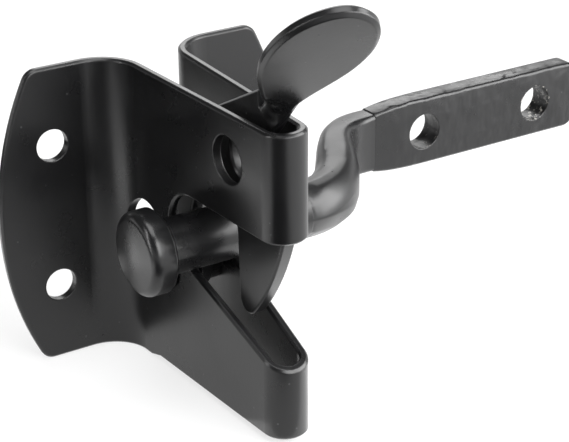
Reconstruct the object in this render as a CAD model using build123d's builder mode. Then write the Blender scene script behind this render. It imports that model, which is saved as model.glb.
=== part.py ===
from build123d import *
from math import acos, asin, atan2, cos, radians, sin, sqrt, tan
import os

# Automatic gate latch, closed, with its striker bar trapped in the mouth.
# Frame: X to the right (toward the gate), -Y forward (toward the user), Z up.
# Origin: middle of the four-hole pattern, on the back plane of the flanges.
# "Forward" distances in the names below are measured from that back plane toward the user.

# Sheet body
sheet = 2.0
body_height = 71.4
flange_half_width = 37.6
flange_edge_radius = 76.0
flange_corner_radius = 3.5
bend_radius = 9.0
nose_radius = 5.2
nose_centre_forward = 59.8
wall_taper = 2.5
edge_break = 0.5
wall_rise = 1.1
wall_rise_start = 11.6
wall_rise_run = 4.0

# Holes of the flanges
mount_hole_diameter = 7.7
mount_pitch_x = 48.0
mount_pitch_z = 34.6

# Mouth
mouth_root_radius = 8.5
mouth_root_forward = 32.2
mouth_top_z = 11.4
mouth_fall = 19.7

# Padlock hole and relief hole through both walls
lock_hole_diameter = 10.8
lock_hole_forward = 47.5
lock_hole_z = 25.4
relief_hole_diameter = 13.4
relief_hole_forward = 13.1
relief_hole_z = -2.6

# Pivot rivet
rivet_diameter = 6.0
rivet_forward = 21.8
rivet_z = -9.0
rivet_head_diameter = 10.4
rivet_head_height = 2.4
rivet_wall_clearance = 0.03
rivet_head_gap = 0.03
rivet_dome_bands = 3

# Pawl plate
plate = 3.3
plate_edge_break = 0.4
pivot_running_clearance = 0.05
eye_radius = 6.2
hub_radius = 5.4
hub_side_clearance = 0.3
shank_gap_behind = 1.9
notch_lift = 1.0
notch_rear_radius = 9.0
notch_front_radius = 5.0
tongue_gap = 5.5
tongue_drop = 12.5
tongue_draft = 0.5
tongue_tip_rise = 3.2
tongue_tip_middle = 3.0
tongue_tip_front = 5.9
tongue_tip_front_rise = 0.9
cam_middle_back = 5.0
cam_middle_drop = 1.2
stop_gap = 0.2
stop_height = 12.6
plate_top_angle = 27.8
plate_shoulder = 5.6
plate_shoulder_length = 1.0
knee_above_pivot = 22.0
open_angle = 45.0
post_clearance = 1.0
lock_hole_clearance = 0.2

# Thumb lever
neck_forward = 57.2
neck_z = 37.8
neck_rise = 50.0
neck_width = 5.6
neck_below = 2.0
neck_twist = 70.0
# Sections of the neck: share of its length, share of its twist, front edge and rear edge from its axis
neck_sections = (
    (0.0, 0.0, -2.8, 2.8),
    (0.25, 0.22, -2.8, 2.8),
    (0.5, 0.5, -3.0, 2.75),
    (0.75, 0.8, -3.75, 2.8),
    (1.0, 1.0, -4.9, 3.25),
    (1.2, 1.0, -5.6, 3.7),
)
leaf_base = 8.0
leaf = 2.9
leaf_length = 31.2
leaf_width = 20.0
leaf_seam = 0.1
leaf_edge_break = 0.8
# Outline of the leaf from its rear root to its front root, as shares of its width and length
leaf_outline = (
    (-0.25, 0.0),
    (-0.34, 0.1),
    (-0.44, 0.27),
    (-0.47, 0.48),
    (-0.39, 0.71),
    (-0.19, 0.9),
    (0.11, 1.0),
    (0.39, 0.93),
    (0.52, 0.75),
    (0.53, 0.6),
    (0.42, 0.35),
    (0.25, 0.13),
    (0.165, 0.0),
)

# Striker
shank_radius = 6.3
shank_forward = 32.4
shank_z = 1.3
head_radius = 9.6
head_face_radius = 7.6
head_left = 20.6
head_thickness = 6.4
head_crown = 0.5
head_rim = 2.2
head_back_round = 1.2
crank_start_x = 21.6
crank_angle = 57.5
crank_bend_radius = 20.0
# Sections of the crank: thickness, height and corner radius, from the shank to the flat bar
crank_corner_facets = 3
crank_first_bend = ((12.6, 12.6, 6.2), (11.8, 12.9, 5.4), (10.6, 13.4, 4.2))
crank_second_bend = ((8.6, 14.2, 2.9), (7.3, 14.7, 2.0), (6.0, 15.0, 1.2))
bar_thickness = 6.3
bar_height = 17.8
bar_z = -0.2
bar_flat_length = 65.6
bar_root = 0.6
bar_shoulder_length = 16.0
bar_shoulder_height = 15.4
bar_shoulder_slope = 0.22
bar_edge_break = 0.8
bar_end_round = 3.6
bar_hole_diameter = 9.4
bar_hole_inset = 14.4
bar_hole_pitch = 36.0

# Derived sizes of the folded body
quarter = radians(90)
middle = radians(45)
taper = radians(wall_taper)
bend_centre_forward = sheet + bend_radius
bend_centre_x = (
    nose_centre_forward * sin(taper) + nose_radius + bend_radius - bend_centre_forward * sin(taper)
) / cos(taper)


def wall_outside(forward):
    """Half width over the walls at a distance forward of the back plane."""
    return (nose_radius + (nose_centre_forward - forward) * sin(taper)) / cos(taper)


def side_point(forward, z):
    """Point of a side-view sketch, whose first axis runs rearward."""
    return (-forward, z)


def bend_point(radius, angle):
    """Point of the left bend in plan, at an angle from the sheet's turn."""
    return (-bend_centre_x + radius * cos(angle), -bend_centre_forward + radius * sin(angle))


def nose_point(radius, angle):
    """Point of the nose in plan, at an angle from its front."""
    return (radius * sin(angle), -nose_centre_forward - radius * cos(angle))


os.makedirs("parts", exist_ok=True)

# Latch body: one folded sheet, flanges, tapering walls and a rounded nose
nose_turn = quarter - taper
outer_bend = bend_radius + sheet
inner_nose = nose_radius - sheet
flat_end = 2 * flange_half_width
through = 4 * flange_half_width
mouth_root_z = mouth_top_z - mouth_root_radius
fall = radians(mouth_fall)
mouth_reach = nose_centre_forward + 2 * nose_radius
root_low = (
    mouth_root_forward - mouth_root_radius * sin(fall),
    mouth_root_z - mouth_root_radius * cos(fall),
)
low_reach = (mouth_reach, root_low[1] - (mouth_reach - root_low[0]) * tan(fall))
with BuildPart() as latch_body:
    with BuildSketch(Plane.XY.offset(-body_height / 2)):
        with BuildLine():
            l_front = Line((-flat_end, -sheet), bend_point(bend_radius, quarter))
            a_front = ThreePointArc(
                l_front @ 1,
                bend_point(bend_radius, (quarter + taper) / 2),
                bend_point(bend_radius, taper),
            )
            l_wall = Line(a_front @ 1, nose_point(nose_radius, -nose_turn))
            a_nose = ThreePointArc(l_wall @ 1, nose_point(nose_radius, 0), nose_point(nose_radius, nose_turn))
            l_inner = Line(nose_point(inner_nose, -nose_turn), bend_point(outer_bend, taper))
            a_inner = ThreePointArc(
                l_inner @ 0,
                nose_point(inner_nose, 0),
                nose_point(inner_nose, nose_turn),
            )
            a_back = ThreePointArc(
                l_inner @ 1,
                bend_point(outer_bend, (quarter + taper) / 2),
                bend_point(outer_bend, quarter),
            )
            l_back = Line(a_back @ 1, (-flat_end, 0))
            l_end = Line(l_back @ 1, l_front @ 0)
            for edge in (l_front, a_front, l_wall, l_inner, a_back, l_back, l_end):
                mirror(edge, about=Plane.YZ)
        make_face()
    extrude(amount=body_height)
    # Flange outline seen from the front: bowed side edges, level ends, rounded corners
    with BuildSketch(Plane.XZ):
        with Locations((flange_half_width - flange_edge_radius, 0)):
            Circle(flange_edge_radius)
        with Locations((flange_edge_radius - flange_half_width, 0)):
            Circle(flange_edge_radius, mode=Mode.INTERSECT)
        Rectangle(2 * flange_half_width, body_height, mode=Mode.INTERSECT)
        fillet(vertices(), flange_corner_radius)
    extrude(amount=through, both=True, mode=Mode.INTERSECT)
    # Mouth: level upper edge, round root, lower edge falling toward the user
    with BuildSketch(Plane.YZ):
        with BuildLine():
            m_top = Line(side_point(mouth_reach, mouth_top_z), side_point(mouth_root_forward, mouth_top_z))
            m_root = ThreePointArc(
                m_top @ 1,
                side_point(mouth_root_forward - mouth_root_radius, mouth_root_z),
                side_point(*root_low),
            )
            m_low = Line(m_root @ 1, side_point(*low_reach))
            Line(m_low @ 1, m_top @ 0)
        make_face()
    extrude(amount=through, both=True, mode=Mode.SUBTRACT)
    # Walls a little shorter than the flanges below
    with BuildSketch(Plane.YZ):
        with BuildLine():
            Polyline(
                side_point(wall_rise_start, -body_height / 2),
                side_point(wall_rise_start + wall_rise_run, wall_rise - body_height / 2),
                side_point(mouth_reach, wall_rise - body_height / 2),
                side_point(mouth_reach, -body_height),
                side_point(wall_rise_start, -body_height),
                close=True,
            )
        make_face()
    extrude(amount=through, both=True, mode=Mode.SUBTRACT)
    # Broken edges all round both faces of the sheet
    straight = edges().filter_by(GeomType.LINE)
    across_sheet = straight.filter_by(
        lambda line: line.length < 2 * sheet and abs(line.tangent_at(0).X) > cos(middle)
    )
    wall_steps = straight.filter_by_position(
        Axis.Z,
        wall_rise / 4 - body_height / 2,
        3 * wall_rise / 4 - body_height / 2,
    )
    chamfer(edges() - across_sheet - wall_steps - edges().filter_by(Axis.Z), edge_break)
    # Relief hole through both walls, reaching into their bends
    with BuildSketch(Plane.YZ):
        with Locations(side_point(relief_hole_forward, relief_hole_z)):
            Circle(relief_hole_diameter / 2)
    extrude(amount=through, both=True, mode=Mode.SUBTRACT)
    # Screw holes of the flanges
    with BuildSketch(Plane.XZ):
        with GridLocations(mount_pitch_x, mount_pitch_z, 2, 2):
            Circle(mount_hole_diameter / 2)
    extrude(amount=through, both=True, mode=Mode.SUBTRACT)
    # Padlock hole and rivet hole through both walls
    with BuildSketch(Plane.YZ):
        with Locations(side_point(lock_hole_forward, lock_hole_z)):
            Circle(lock_hole_diameter / 2)
        with Locations(side_point(rivet_forward, rivet_z)):
            Circle(rivet_diameter / 2 + rivet_wall_clearance)
    extrude(amount=through, both=True, mode=Mode.SUBTRACT)
latch_body.part.label = "latch_body"
export_step(latch_body.part, "parts/latch_body.step")

# Pivot rivet: a straight shaft with a domed head on each wall
rivet_head_radius = rivet_head_diameter / 2
rivet_dome_radius = (rivet_head_radius**2 + rivet_head_height**2) / (2 * rivet_head_height)
rivet_dome_turn = asin(rivet_head_radius / rivet_dome_radius)
rivet_seat = wall_outside(rivet_forward - rivet_head_radius) + rivet_head_gap


def dome_point(band):
    """Plan-view point on the rivet's domed head, counted in hammered bands from its crown."""
    turn = rivet_dome_turn * band / rivet_dome_bands
    return (
        rivet_seat + rivet_head_height - rivet_dome_radius * (1 - cos(turn)),
        -rivet_forward - rivet_dome_radius * sin(turn),
    )


with BuildPart() as pivot_rivet:
    with BuildSketch(Plane.XY.offset(rivet_z)):
        with BuildLine():
            r_axis = Line((0, -rivet_forward), dome_point(0))
            r_dome = Polyline(*[dome_point(band) for band in range(rivet_dome_bands + 1)])
            r_under = Line(r_dome @ 1, (rivet_seat, -rivet_forward - rivet_diameter / 2))
            r_shaft = Line(r_under @ 1, (0, -rivet_forward - rivet_diameter / 2))
            Line(r_shaft @ 1, r_axis @ 0)
        make_face()
    revolve(axis=Axis((0, -rivet_forward, rivet_z), (1, 0, 0)))
    mirror(about=Plane.YZ)
pivot_rivet.part.label = "pivot_rivet"
export_step(pivot_rivet.part, "parts/pivot_rivet.step")

# Pawl: a plate that hooks over the shank, with a twisted neck and a leaf-shaped thumb lever
rise = radians(neck_rise)
along = (cos(rise), sin(rise))
across = (-sin(rise), cos(rise))


def neck_point(length, offset):
    """Side-view point at a length along the neck and an offset toward its rear side."""
    return side_point(
        neck_forward + length * along[0] + offset * across[0],
        neck_z + length * along[1] + offset * across[1],
    )


def neck_plane(length, turn, normal_to_leaf=False):
    """Plane on the neck at a length along it, turned about the neck from the plate."""
    turned = radians(turn)
    run = Vector(0, -along[0], along[1])
    wide = Vector(sin(turned), across[0] * cos(turned), -across[1] * cos(turned))
    spot = (0, *neck_point(length, 0))
    if normal_to_leaf:
        return Plane(origin=spot, x_dir=wide, z_dir=wide.cross(run))
    return Plane(origin=spot, x_dir=wide, z_dir=run)


shank_rear = shank_forward - shank_radius - shank_gap_behind
notch_forward = shank_rear + notch_rear_radius
notch_z = shank_z + notch_lift
notch_top = notch_z + notch_rear_radius
tongue_rear = shank_forward + shank_radius + tongue_gap
tip_z = shank_z - tongue_drop
corner_reach = plate / 2 - plate_edge_break
stop_forward = nose_centre_forward + sqrt(inner_nose**2 - corner_reach**2) - stop_gap
neck_half = neck_width / 2
shoulder = neck_point(plate_shoulder_length, plate_shoulder)
inner_wall = wall_outside(rivet_forward + hub_radius) - sheet / cos(taper)
hub_half = inner_wall - hub_side_clearance
top_slope = radians(plate_top_angle)
opening = radians(open_angle)
swing_room = rivet_forward - post_clearance
shoulder_ahead = -shoulder[0] - rivet_forward
shoulder_up = shoulder[1] - rivet_z
top_run = (shoulder_ahead * cos(opening) - shoulder_up * sin(opening) + swing_room) / cos(top_slope + opening)
top_rear = side_point(
    -shoulder[0] - top_run * cos(top_slope),
    shoulder[1] - top_run * sin(top_slope),
)
knee_ahead = (knee_above_pivot * sin(opening) - swing_room) / cos(opening)
knee = side_point(rivet_forward + knee_ahead, rivet_z + knee_above_pivot)
knee_angle = atan2(knee_above_pivot, knee_ahead)
knee_distance = sqrt(knee_ahead**2 + knee_above_pivot**2)
eye_turn = knee_angle + acos(eye_radius / knee_distance)
arm_ahead = notch_forward - rivet_forward
arm_up = notch_z - rivet_z
arm_turn = atan2(arm_up, arm_ahead) - acos((eye_radius + notch_rear_radius) / sqrt(arm_ahead**2 + arm_up**2))


def eye_point(angle):
    """Side-view point on the pivot eye at an angle from straight ahead."""
    return side_point(rivet_forward + eye_radius * cos(angle), rivet_z + eye_radius * sin(angle))


def notch_point(angle):
    """Side-view point on the notch's rear round at an angle below straight back."""
    return side_point(
        notch_forward - notch_rear_radius * cos(angle),
        notch_z - notch_rear_radius * sin(angle),
    )


# Leaf of the thumb lever: a rounded blade that widens from the neck
with BuildPart() as leaf_blade:
    with BuildSketch(neck_plane(-neck_below, neck_twist, normal_to_leaf=True)):
        with BuildLine():
            l_leaf = Spline(
                [(leaf_width * wide, leaf_base + leaf_length * far) for wide, far in leaf_outline]
            )
            Line(l_leaf @ 1, l_leaf @ 0)
        make_face()
    extrude(amount=leaf / 2, both=True)
    chamfer(edges().filter_by(GeomType.BSPLINE), leaf_edge_break)

with BuildPart() as pawl:
    with BuildSketch(Plane.YZ.offset(-plate / 2)):
        with BuildLine():
            p_arm = Line(eye_point(arm_turn), notch_point(arm_turn))
            p_notch = ThreePointArc(p_arm @ 1, notch_point((arm_turn - quarter) / 2), notch_point(-quarter))
            p_roof = Line(p_notch @ 1, side_point(tongue_rear - notch_front_radius, notch_top))
            p_front = ThreePointArc(
                p_roof @ 1,
                side_point(
                    tongue_rear - notch_front_radius * (1 - cos(middle)),
                    notch_top - notch_front_radius * (1 - sin(middle)),
                ),
                side_point(tongue_rear, notch_top - notch_front_radius),
            )
            p_rear = Line(p_front @ 1, side_point(tongue_rear + tongue_draft, tip_z + tongue_tip_rise))
            p_tip = ThreePointArc(
                p_rear @ 1,
                side_point(tongue_rear + tongue_tip_middle, tip_z),
                side_point(tongue_rear + tongue_tip_front, tip_z + tongue_tip_front_rise),
            )
            p_cam = ThreePointArc(
                p_tip @ 1,
                side_point(stop_forward - cam_middle_back, shank_z - cam_middle_drop),
                side_point(stop_forward, mouth_top_z),
            )
            p_stop = Line(p_cam @ 1, side_point(stop_forward, mouth_top_z + stop_height))
            p_throat = Line(p_stop @ 1, neck_point(-neck_below - neck_half, -neck_half))
            p_neck = Line(p_throat @ 1, neck_point(-neck_below, -neck_half))
            p_end = Line(p_neck @ 1, neck_point(-neck_below, neck_half))
            p_notch_up = Line(p_end @ 1, shoulder)
            p_top = Line(p_notch_up @ 1, top_rear)
            p_back = Line(p_top @ 1, knee)
            p_heel = Line(p_back @ 1, eye_point(eye_turn))
            ThreePointArc(
                p_heel @ 1,
                eye_point(2 * quarter + (eye_turn + arm_turn) / 2),
                eye_point(arm_turn),
            )
        make_face()
        fillet(vertices().sort_by_distance(Vertex(*p_top @ 1))[0], eye_radius)
        with Locations(side_point(lock_hole_forward, lock_hole_z)):
            Circle(lock_hole_diameter / 2 + lock_hole_clearance, mode=Mode.SUBTRACT)
    extrude(amount=plate)
    rim = edges().filter_by_position(Axis.X, plate / 2, plate / 2) + edges().filter_by_position(
        Axis.X, -plate / 2, -plate / 2
    )
    neck_end = Vertex(0, *neck_point(-neck_below, 0))
    chamfer(rim.sort_by_distance(neck_end)[2:], plate_edge_break)
    # Pivot hub, bored for the rivet
    with BuildSketch(Plane.YZ):
        with Locations(side_point(rivet_forward, rivet_z)):
            Circle(hub_radius)
    extrude(amount=hub_half, both=True)
    with BuildSketch(Plane.YZ):
        with Locations(side_point(rivet_forward, rivet_z)):
            Circle(rivet_diameter / 2 + pivot_running_clearance)
    extrude(amount=through, both=True, mode=Mode.SUBTRACT)
    # Neck: the plate's own section turned until it lies in the leaf
    for share, turn, front_edge, rear_edge in neck_sections:
        thick = plate + turn * (leaf - leaf_seam - plate)
        with BuildSketch(neck_plane(-neck_below + share * leaf_base, turn * neck_twist)):
            with Locations(((front_edge + rear_edge) / 2, 0)):
                Rectangle(rear_edge - front_edge, thick)
            chamfer(vertices(), plate_edge_break + turn * (leaf_edge_break - plate_edge_break))
    loft()
    add(leaf_blade.part)
pawl.part.label = "thumb_pawl"
export_step(pawl.part, "parts/thumb_pawl.step")

# Striker: a round bar with a mushroom head, cranked rearward and forged flat for the gate
crank = radians(crank_angle)
head_back_x = head_thickness - head_left
crown_radius = (head_face_radius**2 + head_crown**2) / (2 * head_crown)
crown_turn = asin(head_face_radius / crown_radius)
bar_forward = bar_thickness / 2
crank_fall = shank_forward - bar_forward
crank_straight = (crank_fall - 2 * crank_bend_radius * (1 - cos(crank))) / sin(crank)
first_bend_end = (
    crank_start_x + crank_bend_radius * sin(crank),
    shank_forward - crank_bend_radius * (1 - cos(crank)),
)
second_bend_start = (
    first_bend_end[0] + crank_straight * cos(crank),
    first_bend_end[1] - crank_straight * sin(crank),
)
second_bend_end_x = second_bend_start[0] + crank_bend_radius * sin(crank)
bar_left_x = second_bend_end_x - bar_root
bar_right_x = bar_left_x + bar_flat_length
bar_top_z = bar_z + bar_height / 2
bar_low_z = bar_z - bar_height / 2
bar_hole_last_x = bar_right_x - bar_hole_inset


def crank_plane(x, forward, z, left):
    """Plane across the crank at a point of its axis, where it still has an angle left to turn."""
    return Plane(origin=(x, -forward, z), x_dir=(-sin(left), cos(left), 0), z_dir=(cos(left), sin(left), 0))


def first_bend_plane(share):
    """Plane across the crank at a share of its first bend."""
    turned = crank * share
    x = crank_start_x + crank_bend_radius * sin(turned)
    return crank_plane(x, shank_forward - crank_bend_radius * (1 - cos(turned)), shank_z, turned)


def second_bend_plane(share):
    """Plane across the crank at a share of its second bend."""
    left = crank * (1 - share)
    x = second_bend_end_x - crank_bend_radius * sin(left)
    forward = bar_forward + crank_bend_radius * (1 - cos(left))
    return crank_plane(x, forward, shank_z + share * (bar_z - shank_z), left)


def beaten_outline(thick, high, corner):
    """Points around the crank's section: four flats, with a few hammered facets round each corner."""
    points = []
    for side, (wide, up) in enumerate(((1, 1), (-1, 1), (-1, -1), (1, -1))):
        for facet in range(crank_corner_facets + 1):
            turn = (side + facet / crank_corner_facets) * quarter
            points.append((
                wide * (thick / 2 - corner) + corner * cos(turn),
                up * (high / 2 - corner) + corner * sin(turn),
            ))
    return points


# Flat bar of the striker, with rounded edges and two bolt holes
with BuildPart() as flat_bar:
    with BuildSketch(Plane.XZ):
        with BuildLine():
            b_top = Line((bar_right_x, bar_top_z), (bar_left_x + bar_shoulder_length, bar_top_z))
            b_up = Spline(
                [b_top @ 1, (bar_left_x, bar_z + bar_shoulder_height / 2)],
                tangents=[(-1, 0), (-1, -bar_shoulder_slope)],
            )
            b_left = Line(b_up @ 1, (bar_left_x, bar_z - bar_shoulder_height / 2))
            b_down = Spline(
                [b_left @ 1, (bar_left_x + bar_shoulder_length, bar_low_z)],
                tangents=[(1, -bar_shoulder_slope), (1, 0)],
            )
            b_low = Line(b_down @ 1, (bar_right_x, bar_low_z))
            Line(b_low @ 1, b_top @ 0)
        make_face()
        fillet(vertices().group_by(Axis.X)[-1], bar_end_round)
        with Locations((bar_hole_last_x, bar_z), (bar_hole_last_x - bar_hole_pitch, bar_z)):
            Circle(bar_hole_diameter / 2, mode=Mode.SUBTRACT)
    extrude(amount=bar_thickness)
    face_wires = faces().filter_by(Axis.Y).edges().sort_by(Axis.X)[2:]
    hole_edges = face_wires.filter_by(GeomType.CIRCLE).filter_by(lambda rim: rim.is_closed)
    chamfer(face_wires - hole_edges, bar_edge_break)

with BuildPart() as striker:
    # Mushroom head and shank, turned about the shank's axis
    with BuildSketch(Plane.XY.offset(shank_z)):
        with BuildLine():
            s_face = ThreePointArc(
                (-head_left - head_crown, -shank_forward),
                (
                    -head_left - head_crown + crown_radius * (1 - cos(crown_turn / 2)),
                    -shank_forward - crown_radius * sin(crown_turn / 2),
                ),
                (-head_left, -shank_forward - head_face_radius),
            )
            s_rim = ThreePointArc(
                s_face @ 1,
                (
                    -head_left + head_rim * (1 - cos(middle)),
                    -shank_forward - head_face_radius - (head_radius - head_face_radius) * sin(middle),
                ),
                (-head_left + head_rim, -shank_forward - head_radius),
            )
            s_back = Polyline(
                s_rim @ 1,
                (head_back_x - head_back_round, -shank_forward - head_radius),
                (head_back_x, -shank_forward - head_radius + head_back_round),
                (head_back_x, -shank_forward - shank_radius),
                (crank_start_x, -shank_forward - shank_radius),
                (crank_start_x, -shank_forward),
            )
            Line(s_back @ 1, s_face @ 0)
        make_face()
    revolve(axis=Axis((0, -shank_forward, shank_z), (1, 0, 0)))
    # Crank, beaten from round to flat on its way into the bar
    for bend_plane, sections in (
        (first_bend_plane, crank_first_bend),
        (second_bend_plane, crank_second_bend),
    ):
        for step, (thick, high, corner) in enumerate(sections):
            with BuildSketch(bend_plane(step / (len(sections) - 1))):
                with BuildLine():
                    Polyline(*beaten_outline(thick, high, corner), close=True)
                make_face()
    loft()
    add(flat_bar.part)
striker.part.label = "striker"
export_step(striker.part, "parts/striker.step")
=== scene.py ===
"""Automatic gate latch, closed on its striker bar, in black powder coat, in soft studio light.

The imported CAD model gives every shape. This script gives each piece its finish and sets the floor,
the lamps, the cards that the coat reflects, and the camera. Names that end in _mm are in
millimetres. Other lengths are in metres, and angles are in degrees.
"""

import logging
import math
from dataclasses import dataclass
from enum import Enum

import bmesh
import bpy
from mathutils import Matrix, Vector


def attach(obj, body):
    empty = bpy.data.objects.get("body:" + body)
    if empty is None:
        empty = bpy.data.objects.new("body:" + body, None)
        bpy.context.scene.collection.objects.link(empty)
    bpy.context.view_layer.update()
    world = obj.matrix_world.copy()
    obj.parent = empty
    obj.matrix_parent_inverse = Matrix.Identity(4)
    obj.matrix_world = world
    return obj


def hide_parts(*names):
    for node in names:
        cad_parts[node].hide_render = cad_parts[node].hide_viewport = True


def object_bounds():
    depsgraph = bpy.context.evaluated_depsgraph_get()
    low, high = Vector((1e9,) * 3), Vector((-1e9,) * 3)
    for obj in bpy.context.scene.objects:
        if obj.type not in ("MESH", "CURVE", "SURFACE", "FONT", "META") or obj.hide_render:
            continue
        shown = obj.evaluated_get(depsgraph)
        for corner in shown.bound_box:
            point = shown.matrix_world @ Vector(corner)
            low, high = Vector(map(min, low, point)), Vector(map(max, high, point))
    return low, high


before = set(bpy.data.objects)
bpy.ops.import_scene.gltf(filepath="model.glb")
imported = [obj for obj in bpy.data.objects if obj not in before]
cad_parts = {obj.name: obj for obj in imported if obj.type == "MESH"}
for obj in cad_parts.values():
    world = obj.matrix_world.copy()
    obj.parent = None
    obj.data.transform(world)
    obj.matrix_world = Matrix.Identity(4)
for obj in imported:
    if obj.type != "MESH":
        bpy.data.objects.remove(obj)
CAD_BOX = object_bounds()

LOG = logging.getLogger("gate_latch")
MM = 0.001

Tree = bpy.types.NodeTree
Socket = bpy.types.NodeSocket
Term = Socket | float | tuple[float, ...]

# CAD vertices that are nearer to each other than this are one.
WELD_MM = 0.001
# Which end of each of a rectangle's two spans its corners take, in order round it.
CORNERS = ((0, 0), (1, 0), (1, 1), (0, 1))
# The Mix node's colour sockets, by index, because its other sockets have the same names.
MIX_FROM, MIX_TO, MIX_RESULT = 6, 7, 2
# The Random Value node's float sockets, by index for the same reason.
RANDOM_MIN, RANDOM_MAX, RANDOM_VALUE = 2, 3, 1
# Octaves of the coat's orange peel, of its cloudy gloss and of the marks in the metal.
PEEL_DETAIL, CLOUD_DETAIL, MARK_DETAIL = 3.0, 4.0, 1.0
# Nearly all of the cloud noise lies between these values.
CLOUD_LOW, CLOUD_HIGH = 0.3, 0.7


class Body(Enum):
    """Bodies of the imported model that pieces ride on."""

    LATCH = "latch"
    PAWL = "pawl"
    STRIKER = "striker_bar"


class Run(Enum):
    """Scale along X, Y and Z of a metal's mill or hammer marks: a low one draws them out."""

    NONE = (1.0, 1.0, 1.0)
    ROLLED = (1.0, 1.0, 0.08)
    HAMMERED = (1.0, 1.0, 0.45)


def linear(hex_colour: str) -> tuple[float, float, float, float]:
    """Turns an sRGB hex colour into linear light.

    Args:
        hex_colour: Colour written as "#rrggbb".

    Returns:
        Red, green, blue and alpha, from 0 to 1.
    """
    shares = [int(hex_colour[i : i + 2], 16) / 255 for i in (1, 3, 5)]
    light = [s / 12.92 if s <= 0.04045 else ((s + 0.055) / 1.055) ** 2.4 for s in shares]
    return (*light, 1.0)


def add_node(
    tree: Tree, kind: str, links: dict | None = None, **settings: object
) -> bpy.types.Node:
    """Adds a node, sets its properties and inputs, and links its inputs.

    Args:
        tree: Node tree that takes the node.
        kind: Blender's type name of the node.
        links: Input name or index, to the output socket or value it takes.
        **settings: Properties of the node itself.

    Returns:
        The new node.
    """
    node = tree.nodes.new(kind)
    for name, value in settings.items():
        setattr(node, name, value)
    for name, value in (links or {}).items():
        if isinstance(value, Socket):
            tree.links.new(value, node.inputs[name])
        else:
            node.inputs[name].default_value = value
    return node


def maths(tree: Tree, operation: str, *terms: Term, use_clamp: bool = False) -> Socket:
    """Adds a calculation with plain numbers.

    Args:
        tree: Node tree that takes it.
        operation: Blender's name of the operation.
        *terms: Sockets or values it works on, in order.
        use_clamp: Whether its result is held between 0 and 1.

    Returns:
        The result's socket.
    """
    links = dict(enumerate(terms))
    node = add_node(tree, "ShaderNodeMath", links, operation=operation, use_clamp=use_clamp)
    return node.outputs[0]


def vector_maths(tree: Tree, operation: str, *terms: Term, output: str = "Vector") -> Socket:
    """Adds a calculation with vectors.

    Args:
        tree: Node tree that takes it.
        operation: Blender's name of the operation.
        *terms: Sockets or values it works on, in order.
        output: Name of the result's socket, "Vector" or "Value".

    Returns:
        The result's socket.
    """
    links = dict(enumerate(terms))
    return add_node(tree, "ShaderNodeVectorMath", links, operation=operation).outputs[output]


def ramp(
    tree: Tree, value: Socket, start: float, end: float, low: float = 0.0, high: float = 1.0
) -> Socket:
    """Turns a value's way from one bound to another into an even rise, level beyond both.

    Args:
        tree: Node tree that takes it.
        value: Socket of the value.
        start: Value at which the rise starts.
        end: Value at which it ends.
        low: Result at the start.
        high: Result at the end.

    Returns:
        The result's socket.
    """
    links = {"Value": value, "From Min": start, "From Max": end, "To Min": low, "To Max": high}
    return add_node(tree, "ShaderNodeMapRange", links).outputs[0]


def noise(
    tree: Tree, place: Socket, size_mm: float, detail: float, roughness: float = 0.55
) -> Socket:
    """Adds a noise whose bumps are of a real size.

    Args:
        tree: Tree of the material.
        place: Coordinates that it is laid out on.
        size_mm: Distance from bump to bump.
        detail: Octaves of the noise.
        roughness: Strength of each octave as a share of the last one's.

    Returns:
        The noise's height socket.
    """
    scale = 1 / (size_mm * MM)
    links = {"Vector": place, "Scale": scale, "Detail": detail, "Roughness": roughness}
    return add_node(tree, "ShaderNodeTexNoise", links).outputs[0]


def mix(tree: Tree, share: Socket, below: Term, above: Term) -> Socket:
    """Adds a mix of two colours.

    Args:
        tree: Tree of the material.
        share: Share of the second colour.
        below: Socket or value of the first colour.
        above: Socket or value of the second colour.

    Returns:
        The mixed colour's socket.
    """
    links = {"Factor": share, MIX_FROM: below, MIX_TO: above}
    return add_node(tree, "ShaderNodeMix", links, data_type="RGBA").outputs[MIX_RESULT]


def empty_material(name: str) -> bpy.types.Material:
    """Makes a material whose node tree is empty.

    Args:
        name: Name of the material.

    Returns:
        The material.
    """
    material = bpy.data.materials.new(name)
    material.use_nodes = True
    material.node_tree.nodes.clear()
    return material


def finish_matt(tree: Tree, colour: str, glow: Socket | float) -> None:
    """Ends a material's tree in a matt surface that also gives off light.

    Args:
        tree: Tree of the material.
        colour: Colour of the surface, written as "#rrggbb".
        glow: Socket or value of its own light's strength.
    """
    surface = add_node(tree, "ShaderNodeBsdfDiffuse", {"Color": linear(colour)}).outputs[0]
    light = add_node(tree, "ShaderNodeEmission", {"Strength": glow}).outputs[0]
    both = add_node(tree, "ShaderNodeAddShader", {0: surface, 1: light}).outputs[0]
    add_node(tree, "ShaderNodeOutputMaterial", {"Surface": both})


def add_object(name: str, data: bpy.types.ID) -> bpy.types.Object:
    """Makes an object and links it to the scene.

    Args:
        name: Name of the object.
        data: Mesh, lamp or camera that it carries.

    Returns:
        The object.
    """
    thing = bpy.data.objects.new(name, data)
    bpy.context.scene.collection.objects.link(thing)
    return thing


def outward(azimuth: float, elevation: float) -> Vector:
    """Finds the way from the object to a lamp or camera.

    Args:
        azimuth: Angle from the front, -Y, towards +X.
        elevation: Angle above the floor.

    Returns:
        The direction, of length 1.
    """
    turn, lift = math.radians(azimuth), math.radians(elevation)
    flat = math.cos(lift)
    return Vector((math.sin(turn) * flat, -math.cos(turn) * flat, math.sin(lift)))


def rightward(azimuth: float) -> Vector:
    """Finds the level way to the right, as seen from an azimuth.

    Args:
        azimuth: Angle from the front, -Y, towards +X.

    Returns:
        The direction, of length 1.
    """
    turn = math.radians(azimuth)
    return Vector((math.cos(turn), math.sin(turn), 0.0))


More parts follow.
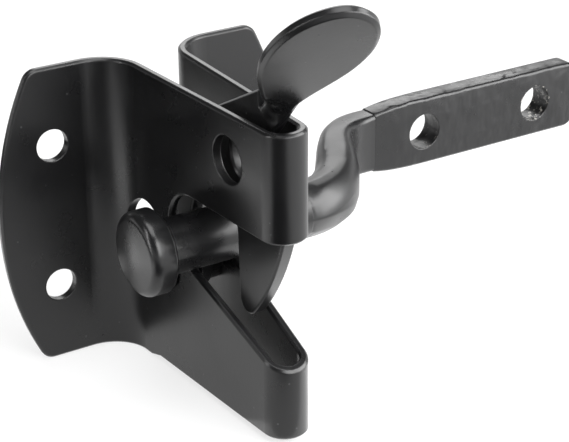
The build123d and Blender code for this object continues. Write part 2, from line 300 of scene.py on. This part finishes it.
@dataclass(frozen=True)
class Chip:
    """A worn spot round a bolt hole, where screws have knocked the coat off in specks."""

    along_mm: float
    height_mm: float
    radius_mm: float
    cover: float
    speck_mm: float = 0.9
    detail: float = 3.0
    raggedness: float = 0.6
    softness: float = 0.06

    def share(self, tree: Tree, place: Socket) -> Socket:
        """Finds the bare specks.

        Args:
            tree: Tree of the material.
            place: Object coordinates.

        Returns:
            A share, 1 on a bare speck.
        """
        centre = (self.along_mm * MM, 0.0, self.height_mm * MM)
        level = vector_maths(tree, "MULTIPLY", place, (1.0, 0.0, 1.0))
        away = vector_maths(tree, "DISTANCE", level, centre, output="Value")
        near = maths(tree, "LESS_THAN", away, self.radius_mm * MM)
        specks = noise(tree, place, self.speck_mm, self.detail, self.raggedness)
        start = 1 - self.cover
        bare = ramp(tree, specks, start, start + self.softness)
        return maths(tree, "MULTIPLY", near, bare)


@dataclass(frozen=True)
class PowderCoat:
    """Polyester powder coat, sprayed dry and baked on steel.

    It lies like a skin: semi-gloss, with a faint orange peel and a few baked-in nibs of dust. Its
    edges are shaded as rounded, and their colour is paled into fine bright lines as a painted
    highlight. The marks that the metal kept from its forming show through it. A face starts to be
    an edge, and is all edge, where the cosine between its rounded and its true normal falls to
    edge_start and edge_full.
    """

    name: str
    colour: str = "#101011"
    # Colour of the painted highlight on the edges, and of the pale dust nibs.
    highlight_and_nib_colour: str = "#3c3c3d"
    roughness: float = 0.30
    roughness_spread: float = 0.10
    specular: float = 0.5
    ior: float = 1.5
    peel_mm: float = 0.9
    peel_depth_mm: float = 0.012
    cloud_mm: float = 14.0
    nib_spacing_mm: float = 4.5
    nib_mm: float = 0.22
    edge_mm: float = 0.45
    edge_samples: int = 8
    edge_start: float = 0.99
    edge_full: float = 0.80
    edge_highlight_share: float = 0.35
    marks: Run = Run.NONE
    mark_mm: float = 1.2
    mark_depth_mm: float = 0.0
    dent_mm: float = 6.0
    dent_share: float = 0.0
    marks_from_mm: float = -500.0
    marks_fade_mm: float = 8.0
    chips: tuple[Chip, ...] = ()
    chip_colour: str = "#96938d"

    def build(self) -> bpy.types.Material:
        """Makes the material.

        Returns:
            The node material, ready for a piece's slot.
        """
        material = empty_material(self.name)
        tree = material.node_tree
        place = add_node(tree, "ShaderNodeTexCoord").outputs["Object"]
        links = {"Radius": self.edge_mm * MM}
        bevel = add_node(tree, "ShaderNodeBevel", links, samples=self.edge_samples)
        rounded = bevel.outputs["Normal"]
        shader = add_node(
            tree,
            "ShaderNodeBsdfPrincipled",
            {
                "Base Color": self._colour(tree, place, rounded),
                "Roughness": self._gloss(tree, place),
                "Normal": self._relief(tree, place, rounded),
                "IOR": self.ior,
                "Specular IOR Level": self.specular,
            },
        )
        add_node(tree, "ShaderNodeOutputMaterial", {"Surface": shader.outputs[0]})
        return material

    def _colour(self, tree: Tree, place: Socket, rounded: Socket) -> Socket:
        """Colours the coat, paler on its edges as a painted highlight and on its dust nibs, with
        bare specks in its chips.

        Args:
            tree: Tree of the material.
            place: Object coordinates.
            rounded: Normal of the surface with its edges rounded.

        Returns:
            The colour's socket.
        """
        edge = self._edge(tree, rounded)
        nib = self._nibs(tree, place)
        # Painted highlight: the coat's colour pales along every edge; the nibs are pale dust.
        highlight_and_nib_share = maths(tree, "MULTIPLY_ADD", edge, self.edge_highlight_share, nib, use_clamp=True)
        colour = mix(tree, highlight_and_nib_share, linear(self.colour), linear(self.highlight_and_nib_colour))
        for chip in self.chips:
            colour = mix(tree, chip.share(tree, place), colour, linear(self.chip_colour))
        return colour

    def _gloss(self, tree: Tree, place: Socket) -> Socket:
        """Varies the coat's roughness softly from place to place.

        Args:
            tree: Tree of the material.
            place: Object coordinates.

        Returns:
            The roughness's socket.
        """
        cloud = noise(tree, place, self.cloud_mm, CLOUD_DETAIL)
        half = self.roughness_spread / 2
        glossy, dull = self.roughness - half, self.roughness + half
        return ramp(tree, cloud, CLOUD_LOW, CLOUD_HIGH, glossy, dull)

    def _relief(self, tree: Tree, place: Socket, rounded: Socket) -> Socket:
        """Raises the orange peel, and the metal's marks under it, on the rounded surface.

        Args:
            tree: Tree of the material.
            place: Object coordinates.
            rounded: Normal of the surface with its edges rounded.

        Returns:
            The normal's socket.
        """
        peel = noise(tree, place, self.peel_mm, PEEL_DETAIL)
        marks = maths(tree, "MULTIPLY", self._marks(tree, place), self._mark_depth(tree, place))
        height = maths(tree, "MULTIPLY_ADD", peel, self.peel_depth_mm * MM, marks)
        links = {"Height": height, "Normal": rounded, "Strength": 1.0, "Distance": 1.0}
        return add_node(tree, "ShaderNodeBump", links).outputs["Normal"]

    def _marks(self, tree: Tree, place: Socket) -> Socket:
        """Adds the marks and dents that the metal kept from its forming, under the coat.

        Args:
            tree: Tree of the material.
            place: Object coordinates.

        Returns:
            The marks' height socket.
        """
        stretched = vector_maths(tree, "MULTIPLY", place, self.marks.value)
        streaks = noise(tree, stretched, self.mark_mm, MARK_DETAIL)
        dents = noise(tree, place, self.dent_mm, MARK_DETAIL)
        return maths(tree, "MULTIPLY_ADD", dents, self.dent_share, streaks)

    def _mark_depth(self, tree: Tree, place: Socket) -> Socket:
        """Says how deep the forming marks are, from where along the piece they begin.

        Args:
            tree: Tree of the material.
            place: Object coordinates.

        Returns:
            Depth of the marks, in metres.
        """
        along = add_node(tree, "ShaderNodeSeparateXYZ", {0: place}).outputs["X"]
        start = self.marks_from_mm * MM
        end = (self.marks_from_mm + self.marks_fade_mm) * MM
        return ramp(tree, along, start, end, high=self.mark_depth_mm * MM)

    def _edge(self, tree: Tree, rounded: Socket) -> Socket:
        """Finds the edges, where the rounded normal leaves the true one.

        Args:
            tree: Tree of the material.
            rounded: Normal of the surface with its edges rounded.

        Returns:
            A share from 0 on a face to 1 on an edge.
        """
        true_normal = add_node(tree, "ShaderNodeNewGeometry").outputs["Normal"]
        facing = vector_maths(tree, "DOT_PRODUCT", rounded, true_normal, output="Value")
        return ramp(tree, facing, self.edge_start, self.edge_full)

    def _nibs(self, tree: Tree, place: Socket) -> Socket:
        """Adds the rare pale specks of dust baked into the coat.

        Args:
            tree: Tree of the material.
            place: Object coordinates.

        Returns:
            A share, 1 on a nib.
        """
        links = {"Vector": place, "Scale": 1 / (self.nib_spacing_mm * MM)}
        away = add_node(tree, "ShaderNodeTexVoronoi", links).outputs["Distance"]
        return maths(tree, "LESS_THAN", away, self.nib_mm / self.nib_spacing_mm)


@dataclass(frozen=True)
class Softbox:
    """A rectangular lamp with a diffuser, aimed at the object, its power in watts."""

    name: str
    azimuth: float
    elevation: float
    distance: float
    width: float
    height: float
    power: float

    def build(self, aim: Vector) -> None:
        """Makes the lamp.

        Args:
            aim: Point it is turned to.
        """
        lamp = bpy.data.lights.new(self.name, "AREA")
        lamp.shape = "RECTANGLE"
        lamp.size, lamp.size_y = self.width, self.height
        lamp.energy = self.power
        back = outward(self.azimuth, self.elevation)
        stand = add_object(self.name, lamp)
        stand.location = aim + back * self.distance
        stand.rotation_mode = "QUATERNION"
        stand.rotation_quaternion = back.to_track_quat("Z", "Y")


@dataclass(frozen=True)
class Card:
    """A card laid on the floor beside the object, seen only where the coat reflects it.

    It is black, a painted dark reflection, unless it has a colour and a glow of its own, which make
    it a painted bright reflection. It casts no shadow and is hidden from diffuse light. Its spans
    run to the camera's right (across_mm) and away from the camera (away_mm).
    """

    name: str
    across_mm: tuple[float, float]
    away_mm: tuple[float, float]
    lift_mm: float = 1.0
    colour: str = "#050505"
    glow: float = 0.0

    def build(self, aim_mm: Vector, azimuth: float, floor: float) -> None:
        """Lays the card.

        Args:
            aim_mm: Point that its spans are measured from.
            azimuth: Azimuth of the camera, which it is squared to.
            floor: Height of the floor.
        """
        side = rightward(azimuth)
        ahead = Vector((-side.y, side.x, 0.0))
        level = floor + self.lift_mm * MM
        spots = [
            (aim_mm + side * self.across_mm[i] + ahead * self.away_mm[j]) * MM for i, j in CORNERS
        ]
        mesh = bpy.data.meshes.new(self.name)
        mesh.from_pydata([(spot.x, spot.y, level) for spot in spots], [], [(0, 1, 2, 3)])
        material = empty_material(f"matt_card_{self.name}")
        finish_matt(material.node_tree, self.colour, self.glow)
        mesh.materials.append(material)
        card = add_object(self.name, mesh)
        card.visible_camera = False
        card.visible_shadow = False
        card.visible_diffuse = False


@dataclass
class Studio:
    """Pale floor and low backdrop, soft lamps, reflected cards and the photograph's camera."""

    floor_half: float = 3.0
    backdrop_height: float = 0.8
    floor_colour: str = "#8c8c8c"
    floor_glow: float = 0.72
    far_glow: float = 1.0
    near_radius: float = 0.25
    far_radius: float = 0.70
    sky_colour: str = "#ffffff"
    sky_strength: float = 0.12
    azimuth: float = -32.604
    elevation: float = 24.665
    roll: float = -0.383
    distance_mm: float = 403.37
    aim_mm: tuple[float, float, float] = (0.0, -20.0, 0.0)
    aim_right_mm: float = 22.293
    aim_up_mm: float = -0.328
    focal_pixels: float = 1785.2
    centre_pixels: tuple[float, float] = (286.924, 220.883)
    image_pixels: tuple[int, int] = (569, 442)
    sensor_mm: float = 36.0
    clip: tuple[float, float] = (0.01, 20.0)
    lamps: tuple[Softbox, ...] = (
        Softbox("key_softbox", 55.0, 28.0, 0.5, 0.45, 0.45, 5.5),
        Softbox("front_softbox", 5.0, 30.0, 0.9, 0.6, 0.6, 9.0),
        Softbox("top_softbox", -20.0, 82.0, 1.0, 0.7, 0.7, 7.0),
        Softbox("left_strip", -95.0, 20.0, 0.8, 0.10, 0.8, 2.2),
        Softbox("rear_softbox", 150.0, 30.0, 0.9, 0.5, 0.5, 2.5),
    )
    # Cards seen only in the coat's reflections: black ones paint dark reflections, glowing ones
    # paint bright reflections.
    cards: tuple[Card, ...] = (
        Card("left_flag", (-500.0, -125.0), (-68.0, 500.0)),
        Card("front_flag", (-500.0, 75.0), (-500.0, -68.0)),
        Card("left_bounce", (-125.0, -66.0), (-135.0, 60.0), 2.0, colour="#c8c8c8", glow=1.15),
        Card("leaf_bounce", (12.0, 80.0), (-40.0, 35.0), 1.0, colour="#c8c8c8", glow=1.25),
    )

    def build(self) -> None:
        """Makes the floor, the room's light, the lamps, the cards and the camera."""
        low, high = CAD_BOX
        self._floor(low.z)
        self._sky()
        for lamp in self.lamps:
            lamp.build((low + high) / 2)
        for card in self.cards:
            card.build(Vector(self.aim_mm), self.azimuth, low.z)
        self._camera()
        bpy.context.scene.view_settings.view_transform = "Standard"

    def _floor(self, level: float) -> None:
        """Lays the pale floor, and its low backdrop all round.

        Args:
            level: Height of the object's lowest point.
        """
        span = (-self.floor_half, self.floor_half)
        heights = (level, level + self.backdrop_height)
        corners = [(span[i], span[j], height) for height in heights for i, j in CORNERS]
        count = len(CORNERS)
        nexts = [(i + 1) % count for i in range(count)]
        sides = [(i, after, after + count, i + count) for i, after in enumerate(nexts)]
        mesh = bpy.data.meshes.new("studio_floor")
        mesh.from_pydata(corners, [], [tuple(range(count)), *sides])
        mesh.materials.append(self._floor_paint())
        floor = add_object("studio_floor", mesh)

    def _floor_paint(self) -> bpy.types.Material:
        """Makes the matt white floor, which shows brighter to the eye than it lights the object.

        Returns:
            The floor's material.
        """
        material = empty_material("matt_white_board")
        tree = material.node_tree
        path = add_node(tree, "ShaderNodeLightPath").outputs
        seen = maths(tree, "MAXIMUM", path["Is Camera Ray"], path["Is Glossy Ray"])
        seen = maths(tree, "MAXIMUM", seen, path["Is Transmission Ray"])
        place = add_node(tree, "ShaderNodeTexCoord").outputs["Object"]
        away = vector_maths(tree, "LENGTH", place, output="Value")
        bounds = (self.near_radius, self.far_radius, self.floor_glow, self.far_glow)
        glow = maths(tree, "MULTIPLY", seen, ramp(tree, away, *bounds))
        finish_matt(tree, self.floor_colour, glow)
        return material

    def _sky(self) -> None:
        """Sets the even light of a white room."""
        world = bpy.data.worlds.new("white_room")
        world.use_nodes = True
        background = world.node_tree.nodes["Background"]
        background.inputs["Color"].default_value = linear(self.sky_colour)
        background.inputs["Strength"].default_value = self.sky_strength
        bpy.context.scene.world = world

    def _camera(self) -> None:
        """Sets the camera at the photograph's viewing angle."""
        roll = math.radians(self.roll)
        back = outward(self.azimuth, self.elevation)
        level = rightward(self.azimuth)
        upward = back.cross(level)
        right = level * math.cos(roll) + upward * math.sin(roll)
        up = upward * math.cos(roll) - level * math.sin(roll)
        target = Vector(self.aim_mm) + right * self.aim_right_mm + up * self.aim_up_mm
        spot = (target + back * self.distance_mm) * MM
        data = bpy.data.cameras.new("camera")
        width, height = self.image_pixels
        data.sensor_width = self.sensor_mm
        data.lens = self.focal_pixels * self.sensor_mm / width
        data.shift_x = (width / 2 - self.centre_pixels[0]) / width
        data.shift_y = (self.centre_pixels[1] - height / 2) / width
        data.clip_start, data.clip_end = self.clip
        camera = add_object("camera", data)
        rows = [(right[i], up[i], back[i], spot[i]) for i in range(3)]
        camera.matrix_world = Matrix((*rows, (0.0, 0.0, 0.0, 1.0)))
        bpy.context.scene.camera = camera


def bake(piece: bpy.types.Object) -> None:
    """Turns a piece and its modifiers to one plain mesh.

    Args:
        piece: Object whose modifiers are applied and removed.
    """
    bpy.context.view_layer.update()
    graph = bpy.context.evaluated_depsgraph_get()
    mesh = bpy.data.meshes.new_from_object(piece.evaluated_get(graph), depsgraph=graph)
    piece.modifiers.clear()
    piece.data = mesh


def paint(node: str, finish: PowderCoat) -> None:
    """Puts a finish on a CAD node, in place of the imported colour.

    Args:
        node: Name of the CAD node.
        finish: Finish to build and assign.
    """
    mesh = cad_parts[node].data
    mesh.materials.clear()
    mesh.materials.append(finish.build())


def rounded_copy(
    node: str, body: Body, finish: PowderCoat, sharp_angle: float
) -> bpy.types.Object:
    """Stands a copy of a CAD node in its place, shaded as the round metal its facets stand for.

    Args:
        node: Name of the CAD node.
        body: Body that the copy rides on.
        finish: Finish to build and assign.
        sharp_angle: Angle from which an edge between two facets stays sharp.

    Returns:
        The copy, which replaces the node.
    """
    work = bmesh.new()
    work.from_mesh(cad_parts[node].data)
    bmesh.ops.remove_doubles(work, verts=work.verts, dist=WELD_MM * MM)
    work.verts.index_update()
    spots = [vertex.co[:] for vertex in work.verts]
    facets = [[vertex.index for vertex in facet.verts] for facet in work.faces]
    work.free()
    mesh = bpy.data.meshes.new(f"{node}_rounded")
    mesh.from_pydata(spots, [], facets)
    mesh.shade_smooth()
    mesh.set_sharp_from_angle(angle=math.radians(sharp_angle))
    copy = add_object(f"{node}_rounded", mesh)
    weighing = copy.modifiers.new("face_weighted_normals", "WEIGHTED_NORMAL")
    weighing.keep_sharp = True
    bake(copy)
    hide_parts(node)
    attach(copy, body.value)
    copy.data.materials.append(finish.build())
    return copy


@dataclass(frozen=True)
class Nibs:
    """Dust nibs baked into the coat of one piece, scattered by Geometry Nodes.

    The smallest nib is least_share of the largest in width, and a nib's height is height_share of
    its width. None is nearer than inset_mm to the box round the whole object.
    """

    name: str
    count: int
    seed: int
    width_mm: float = 0.42
    least_share: float = 0.45
    height_share: float = 0.28
    inset_mm: float = 0.6
    subdivisions: int = 2

    def scatter(self, carrier: bpy.types.Object, body: Body, slot: str, coat: PowderCoat) -> None:
        """Scatters the nibs over a piece's surface as one mesh.

        Args:
            carrier: Object whose surface carries them.
            body: Body that they ride on.
            slot: Material slot of the record; not used.
            coat: Coat that they are baked into.
        """
        scattered = add_object(self.name, bpy.data.meshes.new(self.name))
        area = sum(face.area for face in carrier.data.polygons)
        low, high = CAD_BOX
        inset = Vector((1.0, 1.0, 1.0)) * self.inset_mm * MM
        settings = {
            "Carrier": carrier,
            "Density": self.count / area,
            "Seed": self.seed,
            "Radius": self.width_mm * MM / 2,
            "Height Share": self.height_share,
            "Lowest": low + inset,
            "Highest": high - inset,
            "Coat": coat.build(),
        }
        modifier = scattered.modifiers.new("scatter", "NODES")
        modifier.node_group = self._tree()
        for item in modifier.node_group.interface.items_tree:
            if item.in_out == "INPUT":
                modifier[item.identifier] = settings[item.name]
        bake(scattered)
        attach(scattered, body.value)

    def _tree(self) -> Tree:
        """Builds the tree that drops seeded nibs on a surface, away from the outermost faces.

        Returns:
            The Geometry Nodes tree.
        """
        tree = bpy.data.node_groups.new(f"{self.name}_scatter", "GeometryNodeTree")
        for name, kind in (
            ("Carrier", "NodeSocketObject"),
            ("Density", "NodeSocketFloat"),
            ("Seed", "NodeSocketInt"),
            ("Radius", "NodeSocketFloat"),
            ("Height Share", "NodeSocketFloat"),
            ("Lowest", "NodeSocketVector"),
            ("Highest", "NodeSocketVector"),
            ("Coat", "NodeSocketMaterial"),
        ):
            tree.interface.new_socket(name, in_out="INPUT", socket_type=kind)
        tree.interface.new_socket("Nibs", in_out="OUTPUT", socket_type="NodeSocketGeometry")
        given = add_node(tree, "NodeGroupInput").outputs
        surface = add_node(
            tree,
            "GeometryNodeObjectInfo",
            {"Object": given["Carrier"]},
            transform_space="ORIGINAL",
        ).outputs["Geometry"]
        spots = add_node(
            tree,
            "GeometryNodeDistributePointsOnFaces",
            {"Mesh": surface, "Density": given["Density"], "Seed": given["Seed"]},
        ).outputs
        size = add_node(
            tree,
            "FunctionNodeRandomValue",
            {RANDOM_MIN: self.least_share, RANDOM_MAX: 1.0, "Seed": given["Seed"]},
            data_type="FLOAT",
        ).outputs[RANDOM_VALUE]
        placed = add_node(
            tree,
            "GeometryNodeInstanceOnPoints",
            {
                "Points": self._inside(tree, spots["Points"], given),
                "Instance": self._nib(tree, given),
                "Rotation": spots["Rotation"],
                "Scale": size,
            },
        ).outputs[0]
        solid = add_node(tree, "GeometryNodeRealizeInstances", {"Geometry": placed}).outputs[0]
        smooth = add_node(tree, "GeometryNodeSetShadeSmooth", {"Geometry": solid}).outputs[0]
        links = {"Geometry": smooth, "Material": given["Coat"]}
        coated = add_node(tree, "GeometryNodeSetMaterial", links).outputs[0]
        add_node(tree, "NodeGroupOutput", {"Nibs": coated})
        return tree

    def _nib(self, tree: Tree, given: bpy.types.NodeOutputs) -> Socket:
        """Makes one nib, a ball pressed flat.

        Args:
            tree: Tree of the scatter.
            given: Inputs of the tree.

        Returns:
            The nib's mesh.
        """
        links = {"Radius": given["Radius"], "Subdivisions": self.subdivisions}
        ball = add_node(tree, "GeometryNodeMeshIcoSphere", links).outputs["Mesh"]
        links = {"X": 1.0, "Y": 1.0, "Z": given["Height Share"]}
        flat = add_node(tree, "ShaderNodeCombineXYZ", links).outputs[0]
        links = {"Geometry": ball, "Scale": flat}
        return add_node(tree, "GeometryNodeTransform", links).outputs[0]

    def _inside(self, tree: Tree, points: Socket, given: bpy.types.NodeOutputs) -> Socket:
        """Takes away the points on the object's outermost faces, where a nib would leave its box.

        Args:
            tree: Tree of the scatter.
            points: Scattered points.
            given: Inputs of the tree.

        Returns:
            The points that are left.
        """
        place = add_node(tree, "GeometryNodeInputPosition").outputs[0]
        spot = add_node(tree, "ShaderNodeSeparateXYZ", {0: place}).outputs
        kept = points
        for limit, operation in (("Lowest", "LESS_THAN"), ("Highest", "GREATER_THAN")):
            edge = add_node(tree, "ShaderNodeSeparateXYZ", {0: given[limit]}).outputs
            for axis in ("X", "Y", "Z"):
                links = {
                    "Geometry": kept,
                    "Selection": maths(tree, operation, spot[axis], edge[axis]),
                }
                cut = add_node(tree, "GeometryNodeDeleteGeometry", links, domain="POINT")
                kept = cut.outputs[0]
        return kept


@dataclass
class LatchCase:
    """The folded body with the rivet that the pawl turns on."""

    body_coat: PowderCoat = PowderCoat(
        "powder_coat_on_sheet_steel", marks=Run.ROLLED, mark_depth_mm=0.004
    )
    rivet_coat: PowderCoat = PowderCoat("powder_coat_on_rivet_steel")
    nibs: Nibs = Nibs("case_nibs", count=70, seed=11)
    sharp_angle: float = 40.0

    def dress(self) -> list[str]:
        """Gives the case its finish and the rivet its rounded heads.

        Returns:
            Names of the dressed pieces.
        """
        paint("latch_body", self.body_coat)
        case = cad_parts["latch_body"]
        self.nibs.scatter(case, Body.LATCH, "body_coat", self.body_coat)
        rounded_copy("pivot_rivet", Body.LATCH, self.rivet_coat, self.sharp_angle)
        return ["latch_body", self.nibs.name, "pivot_rivet"]


@dataclass
class ThumbPawl:
    """The pressed pawl with its twisted neck and thumb leaf."""

    coat: PowderCoat = PowderCoat("powder_coat_on_pressed_plate", colour="#121213")
    nibs: Nibs = Nibs("pawl_nibs", count=18, seed=3)

    def dress(self) -> list[str]:
        """Gives the pawl its finish.

        Returns:
            Names of the dressed pieces.
        """
        paint("thumb_pawl", self.coat)
        self.nibs.scatter(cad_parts["thumb_pawl"], Body.PAWL, "pawl_coat", self.coat)
        return ["thumb_pawl", self.nibs.name]


@dataclass
class StrikerBar:
    """The forged striker: mushroom head, shank, crank and flat bar."""

    coat: PowderCoat = PowderCoat(
        "powder_coat_on_forged_bar",
        colour="#121213",
        roughness_spread=0.16,
        peel_depth_mm=0.008,
        marks=Run.HAMMERED,
        mark_mm=2.2,
        mark_depth_mm=0.20,
        dent_mm=5.0,
        dent_share=3.0,
        marks_from_mm=62.0,
        chips=(Chip(112.78, -0.2, 4.95, cover=0.44), Chip(76.78, -0.2, 4.85, cover=0.36)),
    )
    nibs: Nibs = Nibs("striker_nibs", count=46, seed=5)
    sharp_angle: float = 52.0

    def dress(self) -> list[str]:
        """Gives the striker its rounded forging and its finish.

        Returns:
            Names of the dressed pieces.
        """
        bar = rounded_copy("striker", Body.STRIKER, self.coat, self.sharp_angle)
        self.nibs.scatter(bar, Body.STRIKER, "striker_coat", self.coat)
        return ["striker", self.nibs.name]


def main() -> None:
    """Dresses the latch piece by piece and sets the studio."""
    logging.basicConfig(level=logging.INFO)
    for assembly in (LatchCase(), ThumbPawl(), StrikerBar()):
        for piece in assembly.dress():
            LOG.info("dressed %s", piece)
    Studio().build()


if __name__ == "__main__":
    main()
